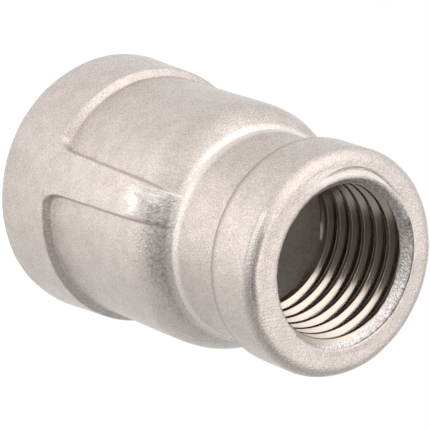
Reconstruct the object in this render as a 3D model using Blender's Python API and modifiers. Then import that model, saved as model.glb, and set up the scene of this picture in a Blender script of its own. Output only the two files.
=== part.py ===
"""Banded reducing pipe coupling, 3/8 inch to 1/4 inch, an investment casting in stainless steel.

The coupling is one piece: a cast body threaded at both ends. It stands on its large end, with the
origin at the middle of that end face and +Z along the axis towards the small end. The rib with the
ground casting gate faces -Y. Run it with blender --background --python part.py, or from the text
editor.
"""
import math

import bmesh
import bpy
from mathutils import Matrix, Vector

MM = 0.001

# Driving dimensions, in millimetres.
LENGTH = 30.7                # end face to end face
SMALL_BAND_RADIUS = 8.66
SMALL_BAND_WIDTH = 5.0
NECK_RADIUS = 7.8            # beside the small band; the neck widens a little to its foot
SHOULDER_DEPTH = 10.32       # small end face to the shoulder's smallest radius
SHOULDER_ROUND = 4.7         # radius of the shoulder's arc
SHOULDER_TURN = 47           # degrees of that arc
FOOT_FILLET = 0.5            # fillet between the shoulder and the neck
BARREL_RADIUS = 9.73
LARGE_BAND_WIDTH = 6.0
LARGE_BAND_RADIUS = 10.35    # at its inner edge
LARGE_FACE_RADIUS = 10.67    # the band flares a little towards the end face
EDGE_ROUND = 0.97            # radius of both outer end edges
BAND_STEP = 0.4              # axial length of the sloping step behind each band

# Taper pipe threads: 60 degree form, 18 turns to the inch, taper 1 in 16 on diameter.
PITCH = 25.4 / 18
RADIUS_TAPER = 1 / 32
THREAD_DEPTH = 0.72          # this leaves the crests as narrow flats
ROOT_FLAT = 0.24
RUNOUT_TURNS = 0.5
SINK_WIDTH = 0.68            # width of the countersinks at the end faces
SMALL_CREST_RADIUS = 5.86    # at the small end face
SMALL_THREAD_LENGTH = 9.9
SMALL_THREAD_START = -76     # azimuth of the groove's outer end, in degrees
LARGE_CREST_RADIUS = 7.6     # at the large end face
LARGE_THREAD_LENGTH = 10.2
LARGE_THREAD_START = 0

# Cast cavity between the threads.
CAVITY_SMALL_RADIUS = 6.5
CAVITY_LARGE_RADIUS = 7.9
CAVITY_WIDENS_FROM = 12.4    # depths from the small end face
CAVITY_WIDENS_TO = 16.5
CAVITY_STEP = 0.6            # axial length of the step from a thread to the cavity

# Ribs and the ground gate.
RIB_WIDTH_AT_BAND = 3.3
RIB_WIDTH_AT_SHOULDER = 2.6
RIB_HEIGHT = LARGE_BAND_RADIUS - BARREL_RADIUS
RIB_CORNER = 0.9             # radius of the inner corners between rib and band
RIB_ROUND = 5.2              # radius of the arc along a rib's top, which sinks into the shoulder
RIB_TURN = 53                # degrees of that arc
RIB_SINK = 0.08              # how far below the shoulder's smallest radius that arc ends
GATE_TILT = math.radians(9)
GATE_LENGTH = 4.2            # how far the ground facet reaches along the rib

ROUND_STEPS = 48             # facets round the body and per thread turn
ARC_STEPS = 5


def make_collection(name):
    """Return a new collection, linked to the scene."""
    collection = bpy.data.collections.new(name)
    bpy.context.scene.collection.children.link(collection)
    return collection


def make_object(name, mesh, collection):
    """Return a new object for a mesh."""
    obj = bpy.data.objects.new(name, mesh)
    collection.objects.link(obj)
    return obj


def arc(centre, radius, start, end, steps=ARC_STEPS):
    """Points (r, z) along an arc, with its angles in degrees from the radial direction."""
    angles = [math.radians(start + (end - start) * i / steps) for i in range(steps + 1)]
    return [(centre[0] + radius * math.cos(a), centre[1] + radius * math.sin(a)) for a in angles]


def shoulder_outline():
    """Points (r, z) from the neck's foot through its fillet and over the shoulder."""
    turned = math.radians(SHOULDER_TURN)
    centre_r = BARREL_RADIUS - SHOULDER_ROUND
    centre_z = LENGTH - SHOULDER_DEPTH - SHOULDER_ROUND * math.sin(turned)
    reach = SHOULDER_ROUND + FOOT_FILLET
    fillet = (centre_r + reach * math.cos(turned), centre_z + reach * math.sin(turned))
    points = arc(fillet, FOOT_FILLET, 180, 180 + SHOULDER_TURN, 3)
    return points + arc((centre_r, centre_z), SHOULDER_ROUND, SHOULDER_TURN, 0)[1:]


def outer_outline():
    """Points (r, z) of the outside, from the small end face down to the large end face."""
    flare = (LARGE_FACE_RADIUS - LARGE_BAND_RADIUS) / LARGE_BAND_WIDTH
    points = arc((SMALL_BAND_RADIUS - EDGE_ROUND, LENGTH - EDGE_ROUND), EDGE_ROUND, 90, 0)
    points.append((SMALL_BAND_RADIUS, LENGTH - SMALL_BAND_WIDTH))
    points.append((NECK_RADIUS, LENGTH - SMALL_BAND_WIDTH - BAND_STEP))
    points += shoulder_outline()
    points.append((BARREL_RADIUS, LARGE_BAND_WIDTH + BAND_STEP))
    points.append((LARGE_BAND_RADIUS, LARGE_BAND_WIDTH))
    edge_r = LARGE_FACE_RADIUS - flare * EDGE_ROUND
    points += arc((edge_r - EDGE_ROUND, EDGE_ROUND), EDGE_ROUND, 0, -90)
    return points


def inner_outline():
    """Points (r, z) of the bores and the cavity, from the large end face up to the small one."""
    small_end = SMALL_CREST_RADIUS - RADIUS_TAPER * SMALL_THREAD_LENGTH
    large_end = LARGE_CREST_RADIUS - RADIUS_TAPER * LARGE_THREAD_LENGTH
    points = [(LARGE_CREST_RADIUS + SINK_WIDTH, 0.0)]
    points.append((LARGE_CREST_RADIUS - RADIUS_TAPER * SINK_WIDTH, SINK_WIDTH))
    points.append((large_end, LARGE_THREAD_LENGTH))
    points.append((CAVITY_LARGE_RADIUS, LARGE_THREAD_LENGTH + CAVITY_STEP))
    points.append((CAVITY_LARGE_RADIUS, LENGTH - CAVITY_WIDENS_TO))
    points.append((CAVITY_SMALL_RADIUS, LENGTH - CAVITY_WIDENS_FROM))
    points.append((CAVITY_SMALL_RADIUS, LENGTH - SMALL_THREAD_LENGTH - CAVITY_STEP))
    points.append((small_end, LENGTH - SMALL_THREAD_LENGTH))
    points.append((SMALL_CREST_RADIUS - RADIUS_TAPER * SINK_WIDTH, LENGTH - SINK_WIDTH))
    points.append((SMALL_CREST_RADIUS + SINK_WIDTH, LENGTH))
    return points


def turned(name, outline, collection):
    """Return a closed outline (r, z) turned once round Z by a Screw modifier."""
    mesh = bpy.data.meshes.new(name)
    vertices = [(r * MM, 0.0, z * MM) for r, z in outline]
    edges = [(i, (i + 1) % len(vertices)) for i in range(len(vertices))]
    mesh.from_pydata(vertices, edges, [])
    obj = make_object(name, mesh, collection)
    screw = obj.modifiers.new("Turn", "SCREW")
    screw.axis = "Z"
    screw.angle = math.tau
    screw.steps = ROUND_STEPS
    screw.render_steps = ROUND_STEPS
    screw.use_merge_vertices = True
    screw.merge_threshold = 0.00001
    return obj


def groove_section(crest, root, centre_z):
    """Corners (r, z) of the thread groove's section, a little inside the crest and out to the root."""
    reach = 0.3
    mouth = ROOT_FLAT / 2 + (root - crest + 0.03) * math.tan(math.radians(30))
    return [
        (crest - reach, centre_z - mouth),
        (crest - 0.03, centre_z - mouth),
        (root, centre_z - ROOT_FLAT / 2),
        (root, centre_z + ROOT_FLAT / 2),
        (crest - 0.03, centre_z + mouth),
        (crest - reach, centre_z + mouth),
    ]


def thread_cutter(name, mouth_z, inward, start, crest_radius, length, collection):
    """Return the solid that cuts a right-hand tapered thread groove.

    inward is -1 for the bore that runs down from the small end and +1 for the large end's. The
    groove starts half a turn outside the mouth and fades out over its last half turn. The taper and
    the fade are why it is lofted here: a Screw modifier keeps one radius.
    """
    turns = length / PITCH + 0.5
    count = round(turns * ROUND_STEPS)
    mesh = bmesh.new()
    rings = []
    for i in range(count + 1):
        turn = i / ROUND_STEPS
        depth = (turn - 0.5) * PITCH
        angle = math.radians(start) + inward * turn * math.tau
        crest = crest_radius - RADIUS_TAPER * depth
        fade = min(1.0, (turns - turn) / RUNOUT_TURNS)
        root = crest + THREAD_DEPTH * fade - 0.02 * (1 - fade)
        section = groove_section(crest, root, mouth_z + inward * depth)
        turned_by = Matrix.Rotation(angle, 3, "Z")
        ring = [mesh.verts.new(turned_by @ Vector((r * MM, 0.0, z * MM))) for r, z in section]
        rings.append(ring)
    for first, second in zip(rings, rings[1:]):
        for i in range(len(first)):
            j = (i + 1) % len(first)
            mesh.faces.new((first[i], first[j], second[j], second[i]))
    mesh.faces.new(rings[0])
    mesh.faces.new(reversed(rings[-1]))
    bmesh.ops.recalc_face_normals(mesh, faces=mesh.faces)
    data = bpy.data.meshes.new(name)
    mesh.to_mesh(data)
    mesh.free()
    return make_object(name, data, collection)


def rib_blank_outline():
    """Points (r, z) of the ring that both ribs are cut from, flush with the large band.

    Its core is inside the casting's wall, so nothing of it shows in the cavity.
    """
    end_z = LENGTH - SHOULDER_DEPTH - RIB_SINK
    centre_r = LARGE_BAND_RADIUS - RIB_ROUND
    centre_z = end_z - RIB_ROUND * math.sin(math.radians(RIB_TURN))
    core = CAVITY_LARGE_RADIUS + 0.15
    root_z = LARGE_BAND_WIDTH - RIB_CORNER
    points = arc((centre_r, centre_z), RIB_ROUND, RIB_TURN, 0, 8)
    points.append((LARGE_BAND_RADIUS, root_z))
    points.append((core, root_z))
    points.append((core, end_z))
    return points


def rib_plan():
    """Points (x, z) of a rib's plan, with round inner corners where it runs into the band."""
    band_half = RIB_WIDTH_AT_BAND / 2
    corner = (band_half + RIB_CORNER, LARGE_BAND_WIDTH + RIB_CORNER)
    side = [(corner[0], LARGE_BAND_WIDTH - 2 * RIB_CORNER)]
    side += arc(corner, RIB_CORNER, 270, 180)
    side.append((RIB_WIDTH_AT_SHOULDER / 2, LENGTH - SHOULDER_DEPTH + 0.2))
    return side + [(-x, z) for x, z in reversed(side)]


def rib_form(name, facing, collection):
    """Return the plan of a rib as a bar standing out along facing, which is -1 or +1 on Y."""
    mesh = bmesh.new()
    near = 4.0 * MM
    far = 14.0 * MM
    outline = [mesh.verts.new((x * MM, facing * near, z * MM)) for x, z in rib_plan()]
    face = mesh.faces.new(outline)
    pushed = bmesh.ops.extrude_face_region(mesh, geom=[face])
    moved = [item for item in pushed["geom"] if isinstance(item, bmesh.types.BMVert)]
    bmesh.ops.translate(mesh, verts=moved, vec=(0.0, facing * (far - near), 0.0))
    bmesh.ops.recalc_face_normals(mesh, faces=mesh.faces)
    data = bpy.data.meshes.new(name)
    mesh.to_mesh(data)
    mesh.free()
    return make_object(name, data, collection)


def gate_cutter(collection):
    """Return the block that grinds the casting gate flat, tilted towards the small end."""
    size = 8.0
    bpy.ops.mesh.primitive_cube_add(size=size * MM)
    block = bpy.context.object
    block.name = "gate_grind"
    for old in list(block.users_collection):
        old.objects.unlink(block)
    collection.objects.link(block)
    block.data.transform(Matrix.Translation((0.0, -size / 2 * MM, 0.0)))
    block.rotation_euler.x = -GATE_TILT
    edge_z = LENGTH - SHOULDER_DEPTH - GATE_LENGTH + 1.0
    block.location = (0.0, -(LARGE_BAND_RADIUS - 0.02) * MM, edge_z * MM)
    block.data.transform(Matrix.Translation((0.0, 0.0, size / 2 * MM)))
    return block


def add_boolean(obj, operation, other):
    """Add an exact Boolean to an object."""
    modifier = obj.modifiers.new(operation.title(), "BOOLEAN")
    modifier.operation = operation
    modifier.solver = "EXACT"
    modifier.object = other
    return modifier


def steel(name):
    """Return the shot-blasted stainless steel of the casting."""
    material = bpy.data.materials.new(name)
    material.use_nodes = True
    shader = material.node_tree.nodes["Principled BSDF"]
    shader.inputs["Base Color"].default_value = (0.52, 0.47, 0.43, 1.0)
    shader.inputs["Metallic"].default_value = 1.0
    shader.inputs["Roughness"].default_value = 0.5
    return material


def build():
    """Model the coupling."""
    for obj in list(bpy.data.objects):
        bpy.data.objects.remove(obj, do_unlink=True)
    parts = make_collection("reducing_coupling")
    cutters = make_collection("cutters")

    body = turned("coupling_body", outer_outline() + inner_outline(), parts)
    body.data.materials.append(steel("cast_steel"))
    body.data.shade_smooth()

    blank = turned("rib_blank", rib_blank_outline(), cutters)
    for label, facing in (("front", -1), ("back", 1)):
        rib = rib_form("rib_" + label, facing, cutters)
        add_boolean(rib, "INTERSECT", blank)
        if label == "front":
            add_boolean(rib, "DIFFERENCE", gate_cutter(cutters))
        add_boolean(body, "UNION", rib)

    small = thread_cutter(
        "small_thread", LENGTH, -1, SMALL_THREAD_START,
        SMALL_CREST_RADIUS, SMALL_THREAD_LENGTH, cutters)
    large = thread_cutter(
        "large_thread", 0.0, 1, LARGE_THREAD_START,
        LARGE_CREST_RADIUS, LARGE_THREAD_LENGTH, cutters)
    add_boolean(body, "DIFFERENCE", small)
    add_boolean(body, "DIFFERENCE", large)

    for cutter in cutters.objects:
        cutter.hide_render = True
        cutter.display_type = "WIRE"


build()
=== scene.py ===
"""Looks of the reducing pipe coupling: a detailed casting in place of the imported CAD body, and its studio.

Everything is in the part's own frame: the coupling stands on its large end, +Z runs up its axis to the
small end, and the rib with the ground casting gate faces -Y. Sizes are in millimetres.
"""
import math

import bpy
import numpy as np
from mathutils import Matrix, Vector

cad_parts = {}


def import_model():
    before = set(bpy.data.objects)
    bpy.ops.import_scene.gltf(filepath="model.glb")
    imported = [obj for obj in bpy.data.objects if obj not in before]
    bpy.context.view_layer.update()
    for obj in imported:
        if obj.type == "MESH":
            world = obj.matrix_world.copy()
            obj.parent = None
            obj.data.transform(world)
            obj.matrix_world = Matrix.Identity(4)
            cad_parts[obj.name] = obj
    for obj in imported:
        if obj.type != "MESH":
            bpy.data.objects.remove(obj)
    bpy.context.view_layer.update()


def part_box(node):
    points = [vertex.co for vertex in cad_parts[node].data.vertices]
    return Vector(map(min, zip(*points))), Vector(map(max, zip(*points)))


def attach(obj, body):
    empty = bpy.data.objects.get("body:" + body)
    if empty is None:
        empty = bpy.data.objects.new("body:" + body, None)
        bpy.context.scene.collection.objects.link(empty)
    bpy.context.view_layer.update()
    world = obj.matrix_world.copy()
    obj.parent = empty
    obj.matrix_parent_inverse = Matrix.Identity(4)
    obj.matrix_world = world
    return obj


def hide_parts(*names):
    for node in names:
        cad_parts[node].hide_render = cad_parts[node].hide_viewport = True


MM = 0.001

# ------------------------------------------------------------ sizes of the casting

SMALL_BAND_RADIUS = 8.66
SMALL_BAND_WIDTH = 5.0
NECK_RADIUS = 7.8            # beside the small band; the neck widens a little to its foot
SHOULDER_DEPTH = 10.32       # small end face to the shoulder's smallest radius
SHOULDER_ROUND = 4.7         # radius of the shoulder's arc
SHOULDER_TURN = 47           # degrees of that arc
FOOT_FILLET = 0.5            # fillet between the shoulder and the neck
BARREL_RADIUS = 9.73
LARGE_BAND_WIDTH = 6.0
LARGE_BAND_RADIUS = 10.35    # at its inner edge
EDGE_ROUND = 0.97            # radius of both outer end edges
BAND_ROUND = 0.6             # rounding of the small band's inner edge
BAND_TURN = 75               # degrees of that rounding, and of the fillet below it
BAND_DROP = 0.12             # how far below the band that fillet's top is
BAND_FILLET = 0.2            # fillet between the band's edge and the neck

PITCH = 25.4 / 18            # taper pipe threads, 18 turns to the inch
RADIUS_TAPER = 1 / 32
THREAD_DEPTH = 0.72
CREST_ROUND = 0.02           # how far the crests' edges are worn down
ROOT_HALF = 0.12             # half the width of the flat at the thread's root
FLANK = math.tan(math.radians(30))
RUNOUT = 0.4                 # turns over which the thread fades out
SMALL_CREST_RADIUS = 5.86
SMALL_THREAD_LENGTH = 9.9
SMALL_GROOVE_HEIGHT = 28.88  # height of the small thread's groove at azimuth 0
SMALL_SINK_RADIUS = 6.42     # countersink at the face
SINK_OFFSET = 0.25           # how far the small countersink was cut off centre
SINK_SLOPE = 0.5             # how fast the first groove may widen below the countersink's rim
BORE_OFFSET = 0.1            # how far the small thread was cut off centre
OFFSET_AZIMUTH = math.radians(125)
RIM_WAVES = ((7, 0.012), (13, 0.01), (29, 0.008), (47, 0.006))   # counts and heights of waves round its rim
LARGE_CREST_RADIUS = 7.6
LARGE_THREAD_LENGTH = 10.2
LARGE_GROOVE_HEIGHT = 0.7
LARGE_SINK_RADIUS = 8.15

CAVITY_SMALL_RADIUS = 6.5
CAVITY_LARGE_RADIUS = 7.9
CAVITY_WIDENS_FROM = 12.4    # depths from the small end face
CAVITY_WIDENS_TO = 16.5
CAVITY_STEP = 0.6            # height of the step from a thread to the cavity
CAVITY_MARGIN = 0.2          # how far the threads' rows reach past that step

RIB_HALF_AT_BAND = 1.65
RIB_HALF_AT_SHOULDER = 1.3
RIB_CORNER = 1.1             # height over which a rib keeps its full width above the band
RIB_WALL = 0.36              # width over which a rib's edge falls to the barrel
BAND_WALL = 0.7              # the same for the large band's edge
WALL_CORNER = 3.2            # radius of the corner between the two, in widths of those walls
RIB_ROUND = 5.2              # radius of the arc along a rib's top, which sinks into the shoulder
RIB_TURN = 53                # degrees of that arc

UNEVENNESS = 0.022           # height of the slow waves in the cast skin
WIDE_WAVES = 0.7             # share of the wide waves in it
NARROW_WAVES = 0.4           # and of the narrow ones
WAVES_SUNK = 0.4             # how far their middle is sunk, as a share of their height
WAVE_COUNT = 14
WAVE_LENGTHS = (0.6, 1.4)    # they are this much shorter or longer than their size
LARGE_INSIDE = 8.2           # nothing inside this radius has waves
SMALL_INSIDE = 6.6           # the same for the upper half
INSIDE_FADE = 0.5
HALF_HEIGHT = 15.0           # where the upper half begins
BOX_MARGIN = 0.001           # what keeps the skin just inside the CAD body's box

SPOT_STEP = 0.04             # depth of the crescent that the facing tool left beside the countersink
SPOT_RADIUS = 6.28
SPOT_OFFSET = 1.32
SPOT_AZIMUTH = math.radians(230)
SPOT_MIDDLE = 180            # azimuth of its middle, in degrees
SPOT_FULL = 0.3              # radians from its middle to where it begins to fade
SPOT_END = 0.8               # and to where it ends
SPOT_LIMIT = 7.25            # radius that its edge stays inside
SPOT_GAP = 0.12              # least distance from the countersink's rim to its edge
SPOT_LIP = 0.03              # width of its edge
FLAT_RADIUS = 6.95           # radius of the same row of the mesh where there is no crescent

# rows and columns of the mesh
FACE_ROWS = 8                # rows across the small end face
SPOT_ROW = 3                 # the one that follows the crescent's edge
CAVITY_ROWS = 16
BARREL_FINE = 1.5            # height above the large band's edge where the rows are close together
BAND_FINE = 1.2              # and below it
MEAN_RADIUS = (BARREL_RADIUS + LARGE_BAND_RADIUS) / 2
WALL_FROM = 1.25             # the columns are closest between these distances from a rib's middle
WALL_TO = 2.05
CORNER_TO = 3.0              # and still close up to this one
WALL_MARGIN = 0.4            # columns this near to a rib's edge keep their distance from it
WARP_END = 6.0               # columns further from a rib's middle stay in their places
SPREAD_FROM = 0.5            # height above the neck's foot where the columns begin to spread again
SPREAD_HEIGHT = 4.0          # and over which they do
TURN_MARGIN = 2              # turns that the thread's rows begin before and end after their span
ROW_MARGIN = 0.004           # least height between a thread's row and its span's ends
FINE_PLACES = (-0.62, -0.56, -0.53, -0.5, -0.12, 0.12, 0.5, 0.53, 0.56, 0.62, 0.7)
COARSE_PLACES = (-0.57, -0.51, -0.12, 0.12, 0.51, 0.57, 0.69)
CAST, MACHINED, HOLLOW = 0, 1, 2   # kinds of surface

# ------------------------------------------------------------ colours, and the places of marks on the skin, painted shade and painted highlights among them

SKIN_DARK = (0.393, 0.345, 0.314)
SKIN_LIGHT = (0.612, 0.546, 0.505)
CREASE_SHADE = (0.3, 0.25, 0.215)       # painted shade: a brown line in the crease under the small band
PAINTED_HIGHLIGHT = (0.84, 0.79, 0.75)    # painted highlight round the neck's foot and along part of the mouth's edge
CUT = (0.39, 0.345, 0.3)
POLISHED = (0.64, 0.6, 0.57)
# painted shade, streaked, on the shoulder beside the gate
SHOULDER_SHADE_DARK = (0.32, 0.29, 0.28)
SHOULDER_SHADE_LIGHT = (0.56, 0.515, 0.49)
# painted shade along part of the mouth's edge
EDGE_SHADE = (0.25, 0.21, 0.205)
SINK_DARK = (0.4, 0.37, 0.36)
SINK_LIGHT = (0.68, 0.64, 0.62)
# the cavity's skin, painted paler than the cast skin as painted light
CAVITY_LIGHTENED_DARK = (0.6, 0.54, 0.49)
CAVITY_LIGHTENED_LIGHT = (0.88, 0.8, 0.74)

GATE_HEIGHT = 18.5           # middle of the ground gate on the -Y rib
GATE_ENDS = (0.8, 2.2)       # heights from its middle where it fades and ends
GATE_SIDES = (1.15, 1.4)     # the same sideways
GATE_FRONT = (-7.5, -8.0)    # y where it starts and is full
GATE_TOP = (19.9, 20.3)      # heights where it fades and ends beside the neck
GATE_TORN = 3.0              # how ragged its ends are
SPOT_POLISH = 0.35           # how polished the crescent is, where the gate's brightest streaks are 1
POLISH_SMOOTHS = 0.8         # share of the grain's height that full polish takes away

# a mark's four places are where it starts, is full, fades and ends
# painted shade in the crease under the small band
CREASE_SHADE_HEIGHT = 25.8
CREASE_SHADE_FADES = (-0.6, -0.4, 0.3, 0.9)
CREASE_SHADE_SHARE = 0.9
# painted highlight round the neck's foot
FOOT_HIGHLIGHT_HEIGHT = 20.38
FOOT_HIGHLIGHT_FADES = (-0.4, -0.05, 0.5, 1.0)
FOOT_HIGHLIGHT_SHARE = 0.55
SHOULDER_SHADE_HEIGHTS = (18.7, 18.9, 20.4, 20.55)    # painted shade on the shoulder beside the gate, with streaks in it
SHOULDER_SHADE_SIDES = (-0.3, 0.0, 5.0, 6.8)
SHOULDER_SHADE_TORN = 0.7
EDGE_SHADE_HEIGHTS = (30.46, 30.52, 30.62, 30.66)   # painted shade: a dark line round part of the mouth's edge
EDGE_SHADE_SIDES = (-1.2, -0.2, 3.6, 5.2)
EDGE_SHADE_SHARE = 0.75
EDGE_HIGHLIGHT_HEIGHTS = (30.02, 30.12, 30.32, 30.4)    # and a painted highlight line beside it
EDGE_HIGHLIGHT_SIDES = (-2.8, -1.8, 0.8, 3.4)
EDGE_HIGHLIGHT_SHARE = 0.6
LINE_TORN = 0.15             # how ragged both lines are
EDGE_TORN = 0.5              # how ragged a strip's long edges are, against its ends
STRIP_FRONT = (4.0, 5.0)     # how far towards -Y strips and lines start and are full
SPOT_FADE = 0.05             # width over which the crescent's polish ends
SPOT_SIDE = (4.6, 5.4)       # how far from the axis towards its middle it starts and is full
SPOT_HEIGHTS = (30.0, 30.3)  # heights where it starts and is full
SINK_EDGE = (0.05, 0.1)      # how far beyond the countersink's cone its dull surface fades and ends
MOUTH_DEPTHS = (0.75, 0.6)   # depths where the whole bore starts to be dull, and where it fully is

SPECKLE_CONTRAST = 1.7       # of the skin's colour
MOTTLE_SHIFTS = (-0.5, -0.2)
CAST_METALLIC = 0.7
BLASTED_ROUGHNESS = (0.22, 0.36)
GROUND_ROUGHNESS = 0.29
CUT_ROUGHNESS = (0.1, 0.2)
SINK_ROUGHNESS = 0.42
HOLLOW_METALLIC = 0.15
HOLLOW_ROUGHNESS = 0.8

# ------------------------------------------------------------ camera and light

VIEW_AZIMUTH = math.radians(-93.66)
VIEW_ELEVATION = math.radians(50.99)
VIEW_ROLL = math.radians(109.71)
VIEW_DISTANCE = 201.17
VIEW_CENTRE = Vector((-0.286, -0.301, 15.092))
VIEW_LENS = 217.67
FLOOR_WIDTH = 3000.0
FLOOR_GLOW = 1.0
FRONT_GLOW = 2.2             # extra glow of the floor in front of the coupling
FRONT_MIDDLE = Vector((0.0, -46.0, 0.0))
FRONT_SIZE = 24.0
INNER_GLOW = 0.52            # glow of the floor under the coupling
SURROUND = 0.45
# soft lights: azimuth and elevation in degrees, tightness, brightness
SIDE_LIGHT = (180, 20, 2.5, 1.15)
FACE_LIGHT = (95, 55, 10, 1.5)
TOP_LIGHT = (-10, 80, 14, 2.0)
LOW_LIGHT = (-100, 20, 22, 2.3)
HIGH_LIGHT = (170, 52, 10, 1.2)
EDGE_LIGHT = (-135, 55, 15, 1.3)
HORIZON_LIGHT = (180, 8, 18, 1.2)
# A dark flag stands to the right of the camera. It hides part of the surround, and of the floor beyond it.
FLAG_AZIMUTH = -55
FLAG_TOP = (0.15, 0.21)      # how far out of the vertical it begins and is full
FLAG_SIDES = (0.54, 0.68)    # how far sideways it is still full, and where it ends
FLAG_FOOT = (60.0, 75.0)     # how far along the floor it begins and is full
FLAG_THIN = 0.28             # what its lower part takes away
FLAG_DARK = 0.9              # what its upper part takes away
FLAG_RISE = (0.64, 0.8)      # how far up the lower part ends and the upper one begins


def smooth(x):
    """Smootherstep from 0 to 1."""
    x = np.clip(x, 0.0, 1.0)
    return x * x * x * (x * (6 * x - 15) + 10)


# ------------------------------------------------------------ outline of the outside

def arc(centre, radius, start, end, steps):
    """Points (r, z) along an arc; angles in degrees from the radial direction."""
    angles = np.radians(np.linspace(start, end, steps + 1))
    return np.stack((centre[0] + radius * np.cos(angles), centre[1] + radius * np.sin(angles)), 1)


def line(start, end, steps):
    """Evenly spaced points (r, z) from start to end."""
    return np.linspace(start, end, steps + 1)


def joined(*pieces):
    """One outline from pieces that share their end points."""
    return np.concatenate([pieces[0]] + [piece[1:] for piece in pieces[1:]])


def end_outline(length):
    """Rows (r, z) from the small socket's rim to the neck's foot, down the outside."""
    face_r = SMALL_BAND_RADIUS - EDGE_ROUND
    edge_z = length - EDGE_ROUND
    round_z = length - SMALL_BAND_WIDTH + BAND_ROUND
    fillet_z = length - SMALL_BAND_WIDTH - BAND_DROP - BAND_FILLET
    corner = arc((SMALL_BAND_RADIUS - BAND_ROUND, round_z), BAND_ROUND, 0, -BAND_TURN, steps=7)
    fillet = arc((NECK_RADIUS + BAND_FILLET, fillet_z), BAND_FILLET, 180 - BAND_TURN, 180, steps=4)
    return joined(
        line((SMALL_SINK_RADIUS, length), (face_r, length), FACE_ROWS),
        arc((face_r, edge_z), EDGE_ROUND, 90, 0, steps=10),
        line((SMALL_BAND_RADIUS, edge_z), (SMALL_BAND_RADIUS, round_z), steps=9),
        corner,
        line(corner[-1], fillet[0], steps=1),
        fillet,
        line((NECK_RADIUS, fillet_z), neck_foot(length), steps=9),
    )


def neck_foot(length):
    """The point (r, z) just above the fillet at the neck's foot."""
    inwards = 1 - math.cos(math.radians(SHOULDER_TURN))
    radius = BARREL_RADIUS - SHOULDER_ROUND * inwards - FOOT_FILLET * inwards
    return radius, length - SHOULDER_DEPTH + FOOT_FILLET


def shoulder_outline(foot, radius, turn, side_radius):
    """Rows from the neck's foot through its fillet, over the shoulder and down to the large band.

    radius and turn are those of the shoulder's arc, and side_radius is the radius of the side below it.
    """
    cosine = math.cos(math.radians(turn))
    sine = math.sin(math.radians(turn))
    end_r = foot[0] + FOOT_FILLET * (1 - cosine)
    end_z = foot[1] - FOOT_FILLET
    centre_r = end_r - radius * cosine
    centre_z = end_z - radius * sine
    fine_z = LARGE_BAND_WIDTH + BARREL_FINE
    fillet = (end_r + FOOT_FILLET * cosine, end_z + FOOT_FILLET * sine)
    return joined(
        arc(fillet, FOOT_FILLET, 180, 180 + turn, steps=5),
        arc((centre_r, centre_z), radius, turn, 0, steps=24),
        line((centre_r + radius, centre_z), (side_radius, fine_z), steps=14),
        line((side_radius, fine_z), (side_radius, LARGE_BAND_WIDTH), steps=30),
    )


def foot_outline(foot_radius):
    """Rows from the inner edge of the large band to the large socket's rim."""
    edge_r = foot_radius - EDGE_ROUND
    fine_z = LARGE_BAND_WIDTH - BAND_FINE
    flare = (foot_radius - LARGE_BAND_RADIUS) * BAND_FINE / (LARGE_BAND_WIDTH - EDGE_ROUND)
    fine_r = LARGE_BAND_RADIUS + flare
    return joined(
        line((LARGE_BAND_RADIUS, LARGE_BAND_WIDTH), (fine_r, fine_z), steps=6),
        line((fine_r, fine_z), (foot_radius, EDGE_ROUND), steps=7),
        arc((edge_r, EDGE_ROUND), EDGE_ROUND, 0, -90, steps=10),
        line((edge_r, 0.0), (LARGE_SINK_RADIUS, 0.0), steps=4),
    )


def outer_rows(length, foot_radius):
    """The outside's rows between the ribs, and the same rows along the top of a rib."""
    start = neck_foot(length)
    end = end_outline(length)[:-1]
    foot = foot_outline(foot_radius)[1:]
    between = shoulder_outline(start, SHOULDER_ROUND, SHOULDER_TURN, BARREL_RADIUS)
    on_rib = shoulder_outline(start, RIB_ROUND, RIB_TURN, LARGE_BAND_RADIUS)
    return np.concatenate((end, between, foot)), np.concatenate((end, on_rib, foot))


# ------------------------------------------------------------ columns round the axis

def column_offsets():
    """Distances of the columns from the middle of a rib, along the surface, for a quarter turn.

    They are close together at the rib's edge and where it runs into the band.
    """
    quarter = MEAN_RADIUS * math.pi / 2
    return np.concatenate((
        np.linspace(0, WALL_FROM, num=5, endpoint=False),
        np.linspace(WALL_FROM, WALL_TO, num=18, endpoint=False),
        np.linspace(WALL_TO, CORNER_TO, num=10, endpoint=False),
        np.linspace(CORNER_TO, quarter, num=45, endpoint=False),
    )), quarter


def column_layout():
    """Each column's signed distance from its nearest rib, and that rib's azimuth, once round."""
    side, quarter = column_offsets()
    back = -np.append(side, quarter)[:0:-1]
    offsets = np.concatenate((side, back, side, back))
    facings = np.repeat((-math.pi / 2, math.pi / 2, math.pi / 2, 1.5 * math.pi), len(side))
    return offsets, facings


def rib_half(z, foot_z):
    """Half the rib's width at height z. Above the rib the columns spread to their own places again."""
    full_z = LARGE_BAND_WIDTH + RIB_CORNER
    share = np.clip((z - full_z) / (foot_z - full_z), 0, 1)
    back = np.clip((z - foot_z - SPREAD_FROM) / SPREAD_HEIGHT, 0, 1)
    return RIB_HALF_AT_BAND - (RIB_HALF_AT_BAND - RIB_HALF_AT_SHOULDER) * share * (1 - back)


def warped(offset, half):
    """Columns moved so that they follow the rib's edges."""
    size = np.abs(offset)
    inner = RIB_HALF_AT_BAND - WALL_MARGIN
    outer = RIB_HALF_AT_BAND + WALL_MARGIN
    in_rib = size * (half - WALL_MARGIN) / inner
    at_edge = half + size - RIB_HALF_AT_BAND
    stretch = (WARP_END - WALL_MARGIN - half) / (WARP_END - outer)
    beside = half + WALL_MARGIN + (size - outer) * stretch
    moved = np.select([size < inner, size < outer, size < WARP_END], [in_rib, at_edge, beside], size)
    return np.sign(offset) * moved


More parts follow.
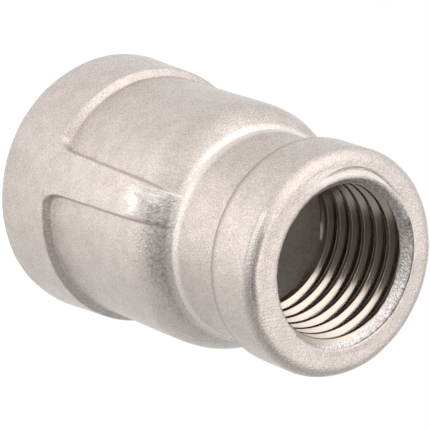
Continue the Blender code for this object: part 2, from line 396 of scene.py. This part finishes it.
def rib_share(offset, z, half):
    """1 on a rib and on the large band, 0 between them, with round corners where they meet."""
    side = (np.abs(offset) - half) / RIB_WALL
    above = (z - LARGE_BAND_WIDTH) / BAND_WALL
    round_off = WALL_CORNER - np.hypot(WALL_CORNER - side, WALL_CORNER - above)
    in_corner = (side < WALL_CORNER) & (above < WALL_CORNER)
    return 1 - smooth(np.where(in_corner, round_off, np.minimum(side, above)))


# ------------------------------------------------------------ rim of the small socket

def rim_radius(azimuth):
    """Radius of the small countersink at the end face. It was cut off centre, and its edge is ragged."""
    ragged = np.zeros_like(azimuth)
    for waves_round, size in RIM_WAVES:
        ragged += size * np.sin(waves_round * azimuth + waves_round ** 2)
    return SMALL_SINK_RADIUS + SINK_OFFSET * np.cos(azimuth - OFFSET_AZIMUTH) + ragged


def face_row(row, azimuth, face_radius):
    """Radius and depth of a row of the small end face. One row follows the edge of the crescent."""
    rim = rim_radius(azimuth)
    spot = SPOT_RADIUS + SPOT_OFFSET * np.cos(azimuth - SPOT_AZIMUTH)
    turn = (azimuth - math.radians(SPOT_MIDDLE) + math.pi) % math.tau - math.pi
    cut = smooth((SPOT_END - np.abs(turn)) / (SPOT_END - SPOT_FULL))
    edge = np.clip(spot, rim + SPOT_GAP, SPOT_LIMIT) * cut + FLAT_RADIUS * (1 - cut)
    if row <= SPOT_ROW:
        return rim + (edge - rim) * row / SPOT_ROW, SPOT_STEP * cut * (row > 0)
    edge = edge + SPOT_LIP
    return edge + (face_radius - edge) * (row - SPOT_ROW - 1) / (FACE_ROWS - SPOT_ROW - 1), 0 * azimuth


# ------------------------------------------------------------ slow unevenness of the casting

def waves(points, size, seed):
    """A smooth random field of about -1 to 1 over points in millimetres; size is that of its humps."""
    chance = np.random.default_rng(seed)
    total = np.zeros(len(points))
    for _ in range(WAVE_COUNT):
        direction = chance.normal(size=3)
        direction *= math.tau / (size * 2) * chance.uniform(*WAVE_LENGTHS) / np.linalg.norm(direction)
        total += np.sin(points @ direction + chance.uniform(0, math.tau))
    return total / math.sqrt(WAVE_COUNT)


def uneven(points, normals, length, foot_radius):
    """The points with the outside's waves, kept inside the CAD body's box."""
    radius = np.hypot(points[:, 0], points[:, 1])
    inside = np.where(points[:, 2] > HALF_HEIGHT, SMALL_INSIDE, LARGE_INSIDE)
    outside = smooth((radius - inside) / INSIDE_FADE)
    wide = WIDE_WAVES * waves(points, size=3.0, seed=3)
    push = UNEVENNESS * (wide + NARROW_WAVES * waves(points, size=1.3, seed=7) - WAVES_SUNK)
    moved = points + normals * (push * outside)[:, None]
    radius = np.hypot(moved[:, 0], moved[:, 1])
    moved[:, :2] *= np.minimum(1.0, (foot_radius - BOX_MARGIN) / radius)[:, None]
    moved[:, 2] = np.clip(moved[:, 2], 0.0, length)
    return moved


# ------------------------------------------------------------ the mesh

class Skin:
    """Vertices and faces of the closed skin, gathered strip by strip."""

    def __init__(self):
        self.points = []
        self.faces = []
        self.kinds = []

    def ring(self, radii, heights, angles):
        """Add a row of vertices and return their numbers."""
        first = len(self.points)
        x = radii * np.cos(angles)
        y = radii * np.sin(angles)
        self.points += list(np.stack((x, y, heights + 0 * x), 1))
        return np.arange(first, first + len(angles))

    def strip(self, lower, upper, kind):
        """Add the faces between two rows that both end on the vertex after their last column."""
        quads = np.stack((lower[:-1], upper[:-1], upper[1:], lower[1:]), 1)
        for quad in quads.tolist():
            corners = [v for i, v in enumerate(quad) if v != quad[i - 1]]
            if len(corners) > 2:
                self.faces.append(corners)
                self.kinds.append(kind)

    def rings(self, rows, kind):
        """Add the faces between closed rings, each after the first above or inside the last."""
        for lower, upper in zip(rows, rows[1:]):
            self.strip(np.append(lower, lower[0]), np.append(upper, upper[0]), kind)

    def thread(self, bottom, top, span, angles, places, groove_height, radius_at):
        """Fill the bore between two rings with rows that follow its right-hand thread.

        Rows that run past an end lie on that end's ring, so the rows close after one turn. places
        are the rows' distances from the middle of the groove, and radius_at gives the radius
        from height, azimuth and place.
        """
        low, high = span
        first = math.floor((low - groove_height) / PITCH) - TURN_MARGIN
        last = math.ceil((high - groove_height) / PITCH) + TURN_MARGIN
        rows = []
        for turn in range(first, last):
            for place in places:
                z = groove_height + turn * PITCH + place + PITCH * angles / math.tau
                row = np.where(z < high - ROW_MARGIN, bottom, top)
                inside = np.flatnonzero((z > low + ROW_MARGIN) & (z < high - ROW_MARGIN))
                radii = radius_at(z[inside], angles[inside], place)
                row[inside] = self.ring(radii, z[inside], angles[inside])
                rows.append(row)
        after = [row[0] for row in rows[len(places):]] + [top[0]] * len(places)
        rows = [np.append(row, end) for row, end in zip(rows, after)]
        for lower, upper in zip(rows, rows[1:]):
            self.strip(lower, upper, MACHINED)


def groove(place, depth):
    """How far the thread groove goes below its crest, for a groove of that depth."""
    below = depth - max(abs(place) - ROOT_HALF, 0.0) / FLANK
    return (below + np.hypot(below, 2 * CREST_ROUND)) / 2


def small_bore(length):
    """Radius of the small socket's bore, by height, azimuth and place across the groove."""
    def radius(z, azimuth, place):
        depth = length - z
        rim = rim_radius(azimuth)
        crest = SMALL_CREST_RADIUS - RADIUS_TAPER * depth + BORE_OFFSET * np.cos(azimuth - OFFSET_AZIMUTH)
        fade = np.clip((SMALL_THREAD_LENGTH - depth - place) / (PITCH * RUNOUT), 0, 1)
        thread = np.minimum(crest + groove(place, THREAD_DEPTH * fade), rim + SINK_SLOPE * depth)
        step = np.clip((depth - SMALL_THREAD_LENGTH) / CAVITY_STEP, 0, 1)
        return np.maximum(np.maximum(thread, rim - depth), crest + step * (CAVITY_SMALL_RADIUS - crest))
    return radius


def large_bore(z, _azimuth, place):
    """Radius of the large socket's bore, by height and place across the groove. It is the same all round."""
    crest = LARGE_CREST_RADIUS - RADIUS_TAPER * z
    fade = np.clip((LARGE_THREAD_LENGTH - z + place) / (PITCH * RUNOUT), 0, 1)
    thread = crest + groove(place, THREAD_DEPTH * fade)
    step = np.clip((z - LARGE_THREAD_LENGTH) / CAVITY_STEP, 0, 1)
    wide = np.maximum(LARGE_SINK_RADIUS - z, crest + step * (CAVITY_LARGE_RADIUS - crest))
    return np.maximum(thread, wide)


def cavity_radius(z, length):
    """Radius of the cast cavity between the threads."""
    share = (length - z - CAVITY_WIDENS_FROM) / (CAVITY_WIDENS_TO - CAVITY_WIDENS_FROM)
    return CAVITY_SMALL_RADIUS + (CAVITY_LARGE_RADIUS - CAVITY_SMALL_RADIUS) * np.clip(share, 0, 1)


def outside_rings(skin, length, foot_radius):
    """Add the outside's rows from the small socket's rim to the large one's, and return their numbers."""
    between, on_rib = outer_rows(length, foot_radius)
    offsets, facings = column_layout()
    rings = []
    for row, (low, high) in enumerate(zip(between, on_rib)):
        half = rib_half(low[1], length - SHOULDER_DEPTH)
        moved = warped(offsets, half)
        angles = facings + moved / MEAN_RADIUS
        share = rib_share(moved, low[1], half)
        radii = low[0] + (high[0] - low[0]) * share
        heights = low[1] + (high[1] - low[1]) * share
        if row < FACE_ROWS:
            radii, sunk = face_row(row, angles, between[FACE_ROWS][0])
            heights = heights - sunk
        rings.append(skin.ring(radii, heights, angles))
    return rings


def casting_skin(length, foot_radius):
    """The whole coupling as one closed skin."""
    skin = Skin()
    outside = outside_rings(skin, length, foot_radius)
    skin.rings(outside, CAST)

    offsets, facings = column_layout()
    angles = facings + offsets / MEAN_RADIUS
    top_z = length - SMALL_THREAD_LENGTH - CAVITY_STEP - CAVITY_MARGIN
    low_z = LARGE_THREAD_LENGTH + CAVITY_STEP + CAVITY_MARGIN
    cavity = [
        skin.ring(cavity_radius(z, length) + 0 * angles, z, angles)
        for z in np.linspace(low_z, top_z, CAVITY_ROWS)]
    skin.rings(cavity, HOLLOW)
    skin.thread(
        cavity[-1], outside[0], (top_z, length), angles, FINE_PLACES,
        SMALL_GROOVE_HEIGHT, small_bore(length))
    skin.thread(
        outside[-1], cavity[0], (0.0, low_z), angles, COARSE_PLACES,
        LARGE_GROOVE_HEIGHT, large_bore)
    return skin


def keep_edges_sharp(mesh, kind):
    """Shade the mesh smoothly, with sharp edges only on one kind of surface."""
    mesh.shade_smooth()
    mesh.set_sharp_from_angle(angle=math.radians(30))
    sharp = mesh.attributes["sharp_edge"].data
    edge_of_key = {key: i for i, key in enumerate(mesh.edge_keys)}
    for polygon in mesh.polygons:
        if polygon.material_index != kind:
            for key in polygon.edge_keys:
                sharp[edge_of_key[key]].value = False


def make_casting(length, foot_radius, materials):
    """The casting as an object, with its slow unevenness and its materials by kind of surface."""
    skin = casting_skin(length, foot_radius)
    points = np.array(skin.points)
    mesh = bpy.data.meshes.new("coupling_casting")
    mesh.from_pydata(points, [], skin.faces)
    mesh.polygons.foreach_set("material_index", np.array(skin.kinds, dtype=np.int32))
    for material in materials:
        mesh.materials.append(material)

    normals = np.empty(points.size)
    mesh.vertex_normals.foreach_get("vector", normals)
    points = uneven(points, normals.reshape(-1, 3), length, foot_radius)
    mesh.vertices.foreach_set("co", (points * MM).ravel())
    keep_edges_sharp(mesh, MACHINED)
    mesh.update()
    casting = bpy.data.objects.new("coupling_casting", mesh)
    bpy.context.scene.collection.objects.link(casting)
    return casting


# ------------------------------------------------------------ shader nodes

def feed(tree, socket, value):
    """Link another node's output to a socket, or set the socket to a plain value."""
    if isinstance(value, bpy.types.NodeSocket):
        tree.links.new(value, socket)
    else:
        socket.default_value = value


def math_node(tree, operation, first, second=0.0, third=0.0):
    """A math node's result. Each input is another node's output or a number."""
    node = tree.nodes.new("ShaderNodeMath")
    node.operation = operation
    for socket, value in zip(node.inputs, (first, second, third)):
        feed(tree, socket, value)
    return node.outputs[0]


def product(tree, first, *others):
    """Values multiplied together."""
    for other in others:
        first = math_node(tree, "MULTIPLY", first, other)
    return first


def vector_node(tree, operation, place, other=(0, 0, 0)):
    """A vector math node for another node's vector and a plain one."""
    node = tree.nodes.new("ShaderNodeVectorMath")
    node.operation = operation
    tree.links.new(place, node.inputs[0])
    node.inputs[1].default_value = other
    return node


def distance(tree, place, point):
    """The distance of a place from a point."""
    return vector_node(tree, "DISTANCE", place, point).outputs["Value"]


def flattened(tree, place):
    """A place with its height made 0."""
    return vector_node(tree, "MULTIPLY", place, (1, 1, 0)).outputs["Vector"]


def split(tree, place):
    """A place's x, y and z."""
    node = tree.nodes.new("ShaderNodeSeparateXYZ")
    tree.links.new(place, node.inputs[0])
    return node.outputs


def unit_vector(azimuth, elevation):
    """The direction at an azimuth and elevation in degrees."""
    azimuth = math.radians(azimuth)
    elevation = math.radians(elevation)
    level = math.cos(elevation)
    return level * math.cos(azimuth), level * math.sin(azimuth), math.sin(elevation)


def towards(tree, place, azimuth, elevation=0):
    """How far a place lies along the direction at an azimuth and elevation in degrees."""
    return vector_node(tree, "DOT_PRODUCT", place, unit_vector(azimuth, elevation)).outputs["Value"]


def upwards(tree, place):
    """How far a place lies along +Z."""
    return towards(tree, place, 0, 90)


def ramp(tree, value, low, high, to_low, to_high, curve="SMOOTHSTEP"):
    """A value's range from low to high made softly into one from to_low to to_high."""
    node = tree.nodes.new("ShaderNodeMapRange")
    node.interpolation_type = curve
    for name, number in (("From Min", low), ("From Max", high), ("To Min", to_low), ("To Max", to_high)):
        feed(tree, node.inputs[name], number)
    tree.links.new(value, node.inputs["Value"])
    return node.outputs["Result"]


def spread(tree, value, margin, to_low=0, to_high=1):
    """A noise's range from margin to 1 - margin made straight into one from to_low to to_high."""
    return ramp(tree, value, margin, 1 - margin, to_low, to_high, "LINEAR")


def mix(tree, share, first, second, kind="RGBA"):
    """A colour, or a number with kind FLOAT, between two. Each is another node's output or a plain value."""
    node = tree.nodes.new("ShaderNodeMix")
    node.data_type = kind
    for name, value in (("Factor", share), ("A", first), ("B", second)):
        if isinstance(value, tuple):
            value = (*value, 1.0)
        feed(tree, node.inputs[name], value)
    return node.outputs["Result"]


def noise(tree, place, scale, detail=2.0, roughness=0.5, stretch=(1, 1, 1)):
    """A noise texture's value over a place. scale is in humps per millimetre."""
    mapping = tree.nodes.new("ShaderNodeMapping")
    mapping.inputs["Scale"].default_value = stretch
    tree.links.new(place, mapping.inputs["Vector"])
    texture = tree.nodes.new("ShaderNodeTexNoise")
    texture.inputs["Scale"].default_value = scale
    texture.inputs["Detail"].default_value = detail
    texture.inputs["Roughness"].default_value = roughness
    tree.links.new(mapping.outputs["Vector"], texture.inputs["Vector"])
    return texture.outputs["Fac"]


def centred_noise(tree, place, size, **settings):
    """A noise of the given size that swings about 0."""
    return math_node(tree, "MULTIPLY_ADD", noise(tree, place, **settings), size, -size / 2)


def bump(tree, height, distance_mm, under=None):
    """A bump over another bump."""
    node = tree.nodes.new("ShaderNodeBump")
    node.inputs["Distance"].default_value = distance_mm * MM
    tree.links.new(height, node.inputs["Height"])
    if under:
        tree.links.new(under, node.inputs["Normal"])
    return node.outputs["Normal"]


def new_material(name):
    """A material, its node tree, its main shader's inputs, and the place in millimetres."""
    material = bpy.data.materials.new(name)
    material.use_nodes = True
    tree = material.node_tree
    place = tree.nodes.new("ShaderNodeTexCoord")
    scale = tree.nodes.new("ShaderNodeVectorMath")
    scale.operation = "SCALE"
    scale.inputs["Scale"].default_value = 1 / MM
    tree.links.new(place.outputs["Object"], scale.inputs[0])
    return material, tree, tree.nodes["Principled BSDF"].inputs, scale.outputs[0]


# ------------------------------------------------------------ materials

def cast_steel():
    """Shot-blasted skin of the casting: warm and matte, all fine sparkling grain."""
    material, tree, shader, place = new_material("cast_steel_skin")
    grain = noise(tree, place, scale=6.5, detail=3.0, roughness=0.7)
    mottle = noise(tree, place, scale=0.8)
    gate, streaks = ground_gate(tree, place)
    polished = math_node(tree, "MAXIMUM", gate, product(tree, crescent(tree, place), SPOT_POLISH))
    feed(tree, shader["Base Color"], skin_colour(tree, place, mottle, polished))
    blasted = spread(tree, grain, 0.3, *BLASTED_ROUGHNESS)
    feed(tree, shader["Roughness"], mix(tree, polished, blasted, GROUND_ROUGHNESS, "FLOAT"))
    shader["Metallic"].default_value = CAST_METALLIC
    unpolished = math_node(tree, "MULTIPLY_ADD", polished, -POLISH_SMOOTHS, 1.0)
    slow = bump(tree, mottle, distance_mm=0.02)
    fine = bump(tree, product(tree, grain, unpolished), distance_mm=0.06, under=slow)
    feed(tree, shader["Normal"], bump(tree, streaks, distance_mm=0.12, under=fine))
    return material


def skin_colour(tree, place, mottle, polished):
    """The skin's speckled colour, and over it the ground gate, painted shade on the shoulder, in the crease
    and along the mouth's edge, and painted highlights.
    """
    speckle = noise(tree, place, scale=7.0, roughness=0.6)
    shift = spread(tree, mottle, 0.3, *MOTTLE_SHIFTS)
    skin = mix(tree, math_node(tree, "MULTIPLY_ADD", speckle, SPECKLE_CONTRAST, shift), SKIN_DARK, SKIN_LIGHT)
    ground = mix(tree, polished, skin, POLISHED)
    # painted shade on the shoulder beside the gate, with streaks in it
    tracks = noise(tree, place, scale=4.5, detail=3.0, roughness=0.7)
    streaked_shade = mix(tree, spread(tree, tracks, margin=0.35), SHOULDER_SHADE_DARK, SHOULDER_SHADE_LIGHT)
    shoulder_shaded = mix(tree, torn_strip(tree, place, SHOULDER_SHADE_HEIGHTS, SHOULDER_SHADE_SIDES, SHOULDER_SHADE_TORN), ground, streaked_shade)
    # painted shade in the crease under the small band
    crease_shaded = mix(tree, band(tree, place, CREASE_SHADE_HEIGHT, CREASE_SHADE_FADES, CREASE_SHADE_SHARE), shoulder_shaded, CREASE_SHADE)
    # painted highlight round the neck's foot
    pale = band(tree, place, FOOT_HIGHLIGHT_HEIGHT, FOOT_HIGHLIGHT_FADES, FOOT_HIGHLIGHT_SHARE)
    # painted highlight line along part of the mouth's edge
    edge_highlight = product(tree, torn_strip(tree, place, EDGE_HIGHLIGHT_HEIGHTS, EDGE_HIGHLIGHT_SIDES, LINE_TORN), EDGE_HIGHLIGHT_SHARE)
    # both painted highlights, the ring at the neck's foot and the line at the mouth's edge
    bright = mix(tree, math_node(tree, "MAXIMUM", pale, edge_highlight), crease_shaded, PAINTED_HIGHLIGHT)
    # painted shade: a dark line round part of the mouth's edge
    edge_shade = product(tree, torn_strip(tree, place, EDGE_SHADE_HEIGHTS, EDGE_SHADE_SIDES, LINE_TORN), EDGE_SHADE_SHARE)
    return mix(tree, edge_shade, bright, EDGE_SHADE)


def ground_gate(tree, place):
    """The patch where the casting's gate was ground off the rib: its polish, and its streaks' height."""
    x, y, z = split(tree, place)
    ragged = centred_noise(
        tree, place, GATE_TORN, scale=0.9, detail=3.0, roughness=0.6, stretch=(1.6, 1.6, 0.3))
    along = math_node(tree, "SUBTRACT", math_node(tree, "ADD", z, ragged), GATE_HEIGHT)
    inside = ramp(tree, math_node(tree, "ABSOLUTE", along), *GATE_ENDS, 1, 0)
    on_rib = ramp(tree, math_node(tree, "ABSOLUTE", x), *GATE_SIDES, 1, 0)
    front = product(tree, ramp(tree, y, *GATE_FRONT, 0, 1), ramp(tree, z, *GATE_TOP, 1, 0))
    share = product(tree, inside, on_rib, front)
    streaks = noise(tree, place, scale=2.4, detail=3.0, roughness=0.65, stretch=(1.0, 1.0, 0.16))
    return product(tree, share, spread(tree, streaks, margin=0.4)), product(tree, share, streaks)


def band(tree, place, height, fades, strength):
    """The share of a band round the axis. fades are its four places, counted upwards from its height."""
    start, full, fading, end = fades
    above = math_node(tree, "SUBTRACT", upwards(tree, place), height)
    return product(tree, ramp(tree, above, fading, end, strength, 0), ramp(tree, above, start, full, 0, 1))


def torn_strip(tree, place, heights, sides, torn):
    """The share of a strip round the -Y side. heights and sides, which are in x, are its four places each."""
    ragged = centred_noise(tree, place, torn, scale=1.3, detail=3.0, roughness=0.6)
    x = math_node(tree, "ADD", towards(tree, place, 0), ragged)
    z = math_node(tree, "MULTIPLY_ADD", ragged, EDGE_TORN, upwards(tree, place))
    share = ramp(tree, towards(tree, place, -90), *STRIP_FRONT, 0, 1)
    for value, (start, full, fading, end) in ((x, sides), (z, heights)):
        rise = ramp(tree, value, start, full, 0, 1)
        share = product(tree, share, rise, ramp(tree, value, fading, end, 1, 0))
    return share


def crescent(tree, place):
    """The share of the smooth crescent that the facing tool left beside the small countersink."""
    flat = flattened(tree, place)
    middle = (SPOT_OFFSET * math.cos(SPOT_AZIMUTH), SPOT_OFFSET * math.sin(SPOT_AZIMUTH), 0)
    within = ramp(tree, distance(tree, flat, middle), SPOT_RADIUS, SPOT_RADIUS + SPOT_FADE, 1, 0)
    side = ramp(tree, towards(tree, flat, SPOT_MIDDLE), *SPOT_SIDE, 0, 1)
    return product(tree, within, side, ramp(tree, upwards(tree, place), *SPOT_HEIGHTS, 0, 1))


def cut_steel(length):
    """Bright steel of the threads, with fine marks of the cutting tool, and the duller countersink."""
    material, tree, shader, place = new_material("cut_steel")
    marks = noise(tree, place, scale=1.0, detail=3.0, roughness=0.6, stretch=(0.3, 0.3, 22.0))
    scratches = noise(tree, place, scale=5.0, detail=3.0, roughness=0.7, stretch=(1.0, 1.0, 0.3))
    sink = sink_share(tree, place, length)
    dull = mix(tree, spread(tree, scratches, margin=0.35), SINK_DARK, SINK_LIGHT)
    feed(tree, shader["Base Color"], mix(tree, sink, CUT, dull))
    turned = spread(tree, marks, 0.3, *CUT_ROUGHNESS)
    feed(tree, shader["Roughness"], mix(tree, sink, turned, SINK_ROUGHNESS, "FLOAT"))
    shader["Metallic"].default_value = 1.0
    cut = bump(tree, marks, distance_mm=0.006)
    feed(tree, shader["Normal"], bump(tree, product(tree, sink, scratches), distance_mm=0.1, under=cut))
    return material


def sink_share(tree, place, length):
    """The share of the small countersink's dull surface: its cone, and all that is close to the end face."""
    z = split(tree, place)["Z"]
    middle = (SINK_OFFSET * math.cos(OFFSET_AZIMUTH), SINK_OFFSET * math.sin(OFFSET_AZIMUTH), 0)
    radius = distance(tree, flattened(tree, place), middle)
    cone = math_node(tree, "SUBTRACT", math_node(tree, "SUBTRACT", radius, z), SMALL_SINK_RADIUS - length)
    mouth_z = [length - depth for depth in MOUTH_DEPTHS]
    return math_node(tree, "MAXIMUM", ramp(tree, cone, *SINK_EDGE, 1, 0), ramp(tree, z, *mouth_z, 0, 1))


def cavity_steel_lightened():
    """The cavity's skin: the cast skin again, duller, and painted paler as painted light where little light
    reaches.
    """
    material, tree, shader, place = new_material("cavity_steel_lightened")
    grain = noise(tree, place, scale=4.0, detail=3.0, roughness=0.65)
    feed(tree, shader["Base Color"], mix(tree, spread(tree, grain, margin=0.3), CAVITY_LIGHTENED_DARK, CAVITY_LIGHTENED_LIGHT))
    shader["Metallic"].default_value = HOLLOW_METALLIC
    shader["Roughness"].default_value = HOLLOW_ROUGHNESS
    feed(tree, shader["Normal"], bump(tree, grain, distance_mm=0.08))
    return material


# ------------------------------------------------------------ studio

def make_camera():
    """The camera, looking down at the small socket past the rib with the ground gate."""
    data = bpy.data.cameras.new("camera")
    camera = bpy.data.objects.new("camera", data)
    bpy.context.scene.collection.objects.link(camera)
    direction = Vector((
        math.cos(VIEW_ELEVATION) * math.cos(VIEW_AZIMUTH),
        math.cos(VIEW_ELEVATION) * math.sin(VIEW_AZIMUTH),
        math.sin(VIEW_ELEVATION)))
    level = direction.to_track_quat("Z", "Y").to_matrix().to_4x4()
    place = Matrix.Translation((VIEW_CENTRE + direction * VIEW_DISTANCE) * MM)
    camera.matrix_world = place @ level @ Matrix.Rotation(VIEW_ROLL, 4, "Z")
    data.lens = VIEW_LENS
    data.sensor_width = 36.0
    data.clip_start = 0.005
    data.clip_end = 20.0
    bpy.context.scene.camera = camera


def flag_shade(tree, place, direction, reach, dark):
    """The share of light left by the dark flag, which takes away dark of it.

    reach is how far a place lies towards the flag where it begins, and where it is full.
    """
    forward = towards(tree, place, FLAG_AZIMUTH)
    sideways = math_node(tree, "ABSOLUTE", towards(tree, direction, FLAG_AZIMUTH + 90))
    within = product(tree, ramp(tree, forward, *reach, 0, 1), ramp(tree, sideways, *FLAG_SIDES, 1, 0))
    return math_node(tree, "SUBTRACT", 1.0, product(tree, within, dark))


def floor_glow(tree, foot_radius):
    """The floor's glow: less under the coupling, more in front of it, and less again beyond the flag."""
    place = tree.nodes.new("ShaderNodeTexCoord").outputs["Object"]
    from_axis = distance(tree, place, (0, 0, 0))
    outside = math_node(tree, "GREATER_THAN", from_axis, (foot_radius - EDGE_ROUND) * MM)
    away = math_node(tree, "DIVIDE", distance(tree, place, FRONT_MIDDLE * MM), FRONT_SIZE * MM)
    fall = math_node(tree, "EXPONENT", product(tree, away, away, -1.0))
    open_glow = math_node(tree, "MULTIPLY_ADD", fall, FRONT_GLOW, FLOOR_GLOW - INNER_GLOW)
    direction = vector_node(tree, "NORMALIZE", place).outputs["Vector"]
    shade = flag_shade(tree, place, direction, [reach * MM for reach in FLAG_FOOT], FLAG_THIN)
    return math_node(tree, "MULTIPLY_ADD", outside, product(tree, open_glow, shade), INNER_GLOW)


def make_floor(foot_radius):
    """A plain pale floor that glows softly like a light table."""
    bpy.ops.mesh.primitive_plane_add(size=FLOOR_WIDTH * MM)
    floor = bpy.context.object
    floor.name = "floor"
    material = bpy.data.materials.new("floor_white")
    material.use_nodes = True
    tree = material.node_tree
    tree.nodes.remove(tree.nodes["Principled BSDF"])
    glow = tree.nodes.new("ShaderNodeEmission")
    feed(tree, glow.inputs["Strength"], floor_glow(tree, foot_radius))
    feed(tree, tree.nodes["Material Output"].inputs["Surface"], glow.outputs[0])
    floor.data.materials.append(material)
    return floor


def soft_light(tree, direction, light):
    """A round soft light in the surround, brightest in its middle and fading outwards."""
    azimuth, elevation, tightness, brightness = light
    cosine = towards(tree, direction, azimuth, elevation)
    away = math_node(tree, "MULTIPLY_ADD", cosine, tightness, -tightness)
    return product(tree, math_node(tree, "EXPONENT", away), brightness)


def make_world():
    """A pale surround with a few broad soft lights in it, and the dark flag in front of them."""
    world = bpy.data.worlds.new("surround")
    bpy.context.scene.world = world
    world.use_nodes = True
    tree = world.node_tree
    direction = tree.nodes.new("ShaderNodeTexCoord").outputs["Generated"]
    total = SURROUND
    for light in (SIDE_LIGHT, FACE_LIGHT, LOW_LIGHT, HIGH_LIGHT, EDGE_LIGHT, TOP_LIGHT, HORIZON_LIGHT):
        total = math_node(tree, "ADD", soft_light(tree, direction, light), total)
    dark = ramp(tree, upwards(tree, direction), *FLAG_RISE, FLAG_THIN, FLAG_DARK)
    shade = flag_shade(tree, direction, direction, FLAG_TOP, dark)
    background = tree.nodes["Background"].inputs
    background["Color"].default_value = (1, 1, 1, 1)
    feed(tree, background["Strength"], product(tree, total, shade))


def main():
    """Build the scene."""
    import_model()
    low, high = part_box("coupling_body")
    length = (high.z - low.z) / MM
    foot_radius = (high.x - low.x) / 2 / MM

    casting = make_casting(length, foot_radius, (cast_steel(), cut_steel(length), cavity_steel_lightened()))
    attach(casting, "root")
    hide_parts("coupling_body")

    make_camera()
    make_floor(foot_radius)
    make_world()
    bpy.context.scene.view_settings.view_transform = "Standard"


main()
